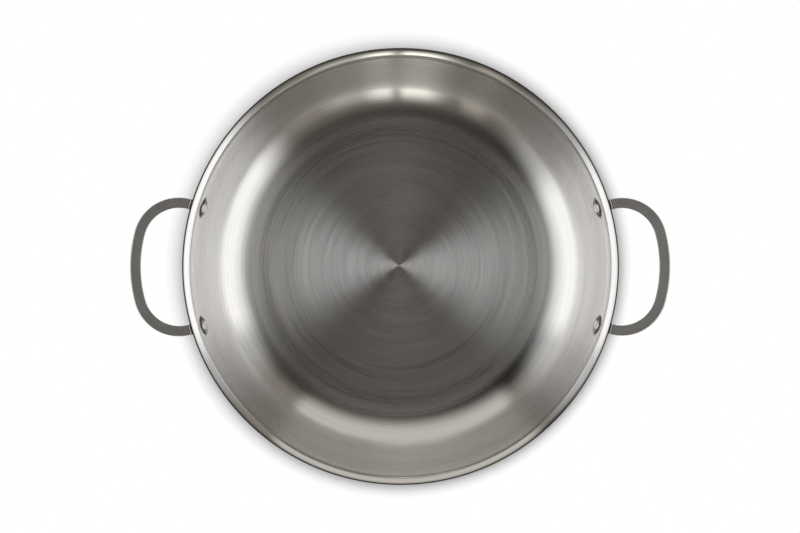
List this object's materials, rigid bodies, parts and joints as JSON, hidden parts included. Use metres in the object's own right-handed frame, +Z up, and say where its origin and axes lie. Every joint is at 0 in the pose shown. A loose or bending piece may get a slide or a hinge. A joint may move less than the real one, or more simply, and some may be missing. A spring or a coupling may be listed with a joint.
{
  "type": "shallow casserole pan",
  "caption": "Shallow round three-ply steel pan with a flared pouring rim, a swept floor corner and riveted loop handles on opposite sides.",
  "frame": {"origin": "centre of the flat base, on the surface the pan stands on", "axes": "+X from the pan's middle to the right handle, +Y away from the cook, +Z up"},
  "size_m": [0.3882, 0.314, 0.07],
  "materials": {
    "cooking_steel": "round-brushed satin",
    "core_aluminium": "mill finish, sealed in",
    "outer_steel": "satin",
    "handle_steel": "satin with polished edges",
    "rivet_steel": "polished"
  },
  "bodies": {
    "root": {"inner_steel": "cooking_steel", "aluminium_core": "core_aluminium", "outer_steel": "outer_steel", "right_handle": "handle_steel", "left_handle": "handle_steel", "rivet_right_rear": "rivet_steel", "rivet_right_front": "rivet_steel", "rivet_left_rear": "rivet_steel", "rivet_left_front": "rivet_steel"}
  },
  "joints": []
}
